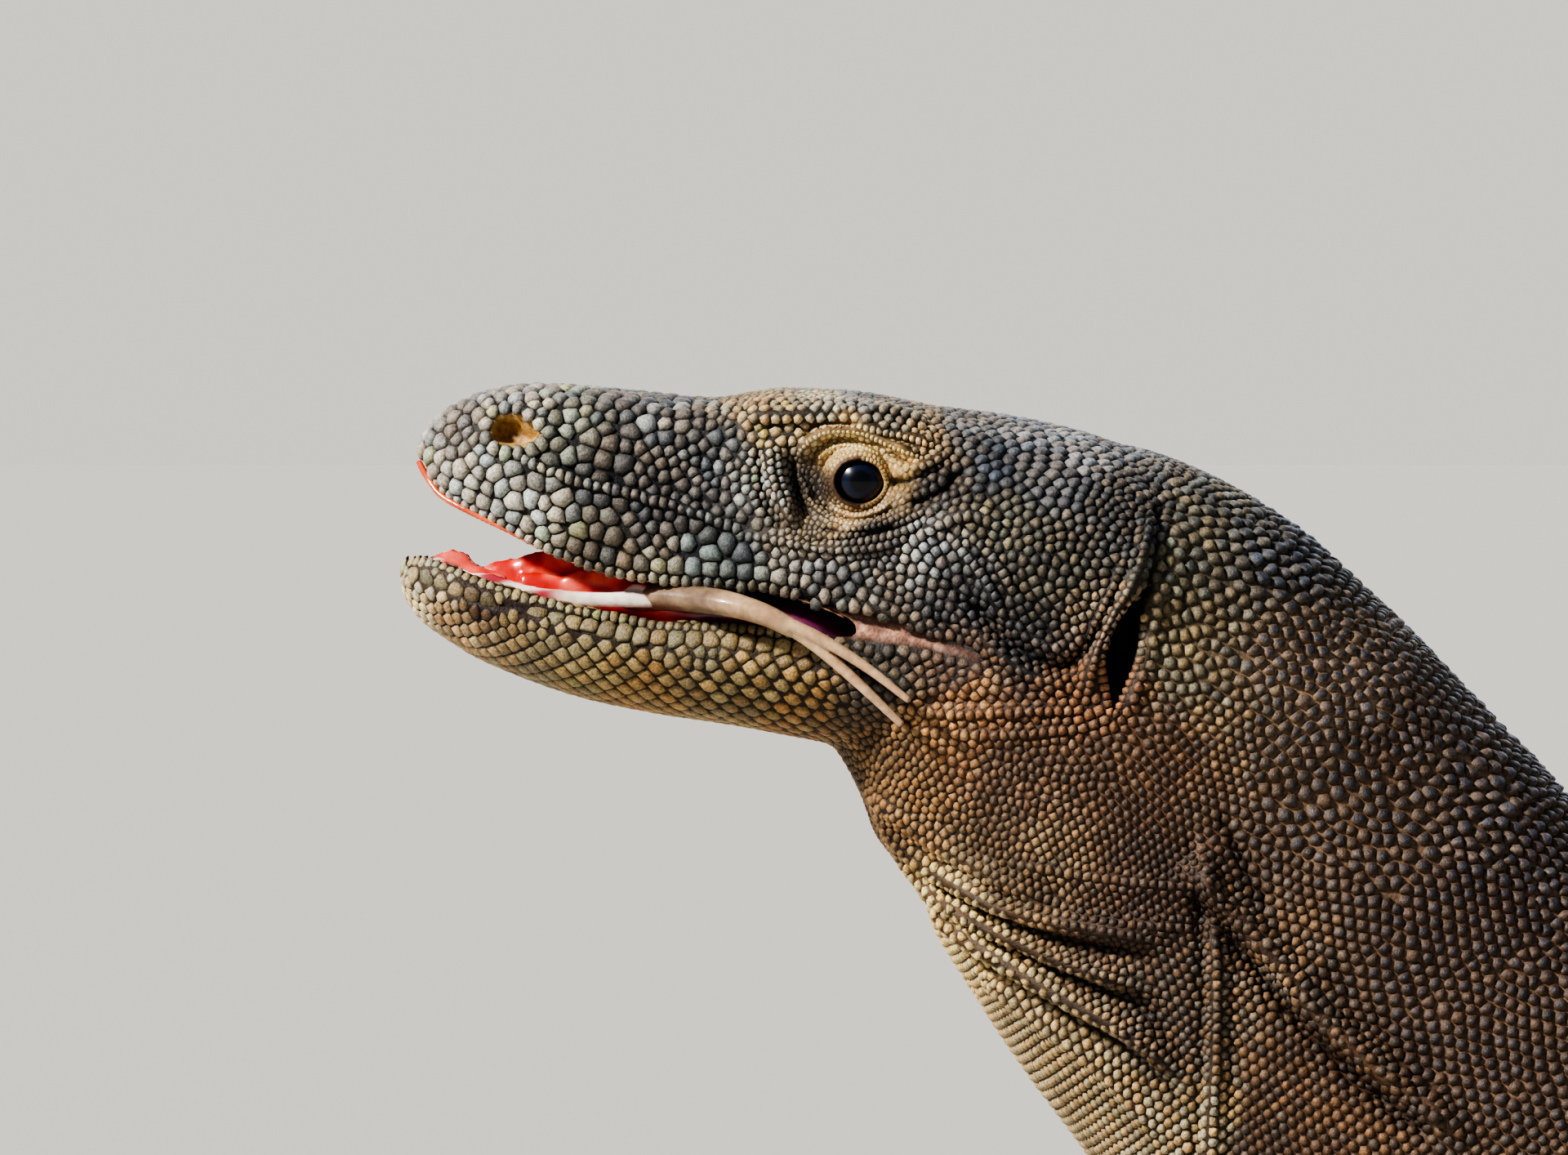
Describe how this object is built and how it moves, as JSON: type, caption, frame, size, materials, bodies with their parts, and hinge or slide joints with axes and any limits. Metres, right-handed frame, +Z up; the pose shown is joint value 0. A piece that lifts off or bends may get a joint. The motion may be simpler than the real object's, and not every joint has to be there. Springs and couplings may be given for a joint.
{
  "type": "komodo dragon",
  "caption": "Large monitor lizard standing on four bent legs, head raised, mouth a little open with a forked tongue out over the lip, long tail laid on the floor.",
  "frame": {"origin": "on the floor, under the middle of the bounding box", "axes": "+Z up, -Y the way the animal faces, +X its left side"},
  "size_m": [0.5586, 2.2362, 0.551],
  "materials": {
    "skin": "dry beaded scales, dark grey brown with rusty and buff rims, dusty",
    "tongue": "moist, pinkish beige",
    "eye": "wet, dark brown to black",
    "claw": "worn dark horn"
  },
  "bodies": {
    "root": {"head": "skin", "lower_jaw": "skin", "eye_left": "eye", "eye_right": "eye", "tongue": "tongue", "neck": "skin", "trunk": "skin", "tail_base": "skin", "tail_middle": "skin", "tail_tip": "skin", "upper_leg_fore_left": "skin", "lower_leg_fore_left": "skin", "foot_fore_left": "skin", "claw_fore_left_1": "claw", "claw_fore_left_2": "claw", "claw_fore_left_3": "claw", "claw_fore_left_4": "claw", "claw_fore_left_5": "claw", "upper_leg_fore_right": "skin", "lower_leg_fore_right": "skin", "foot_fore_right": "skin", "claw_fore_right_1": "claw", "claw_fore_right_2": "claw", "claw_fore_right_3": "claw", "claw_fore_right_4": "claw", "claw_fore_right_5": "claw", "upper_leg_hind_left": "skin", "lower_leg_hind_left": "skin", "foot_hind_left": "skin", "claw_hind_left_1": "claw", "claw_hind_left_2": "claw", "claw_hind_left_3": "claw", "claw_hind_left_4": "claw", "claw_hind_left_5": "claw", "upper_leg_hind_right": "skin", "lower_leg_hind_right": "skin", "foot_hind_right": "skin", "claw_hind_right_1": "claw", "claw_hind_right_2": "claw", "claw_hind_right_3": "claw", "claw_hind_right_4": "claw", "claw_hind_right_5": "claw"}
  },
  "joints": []
}
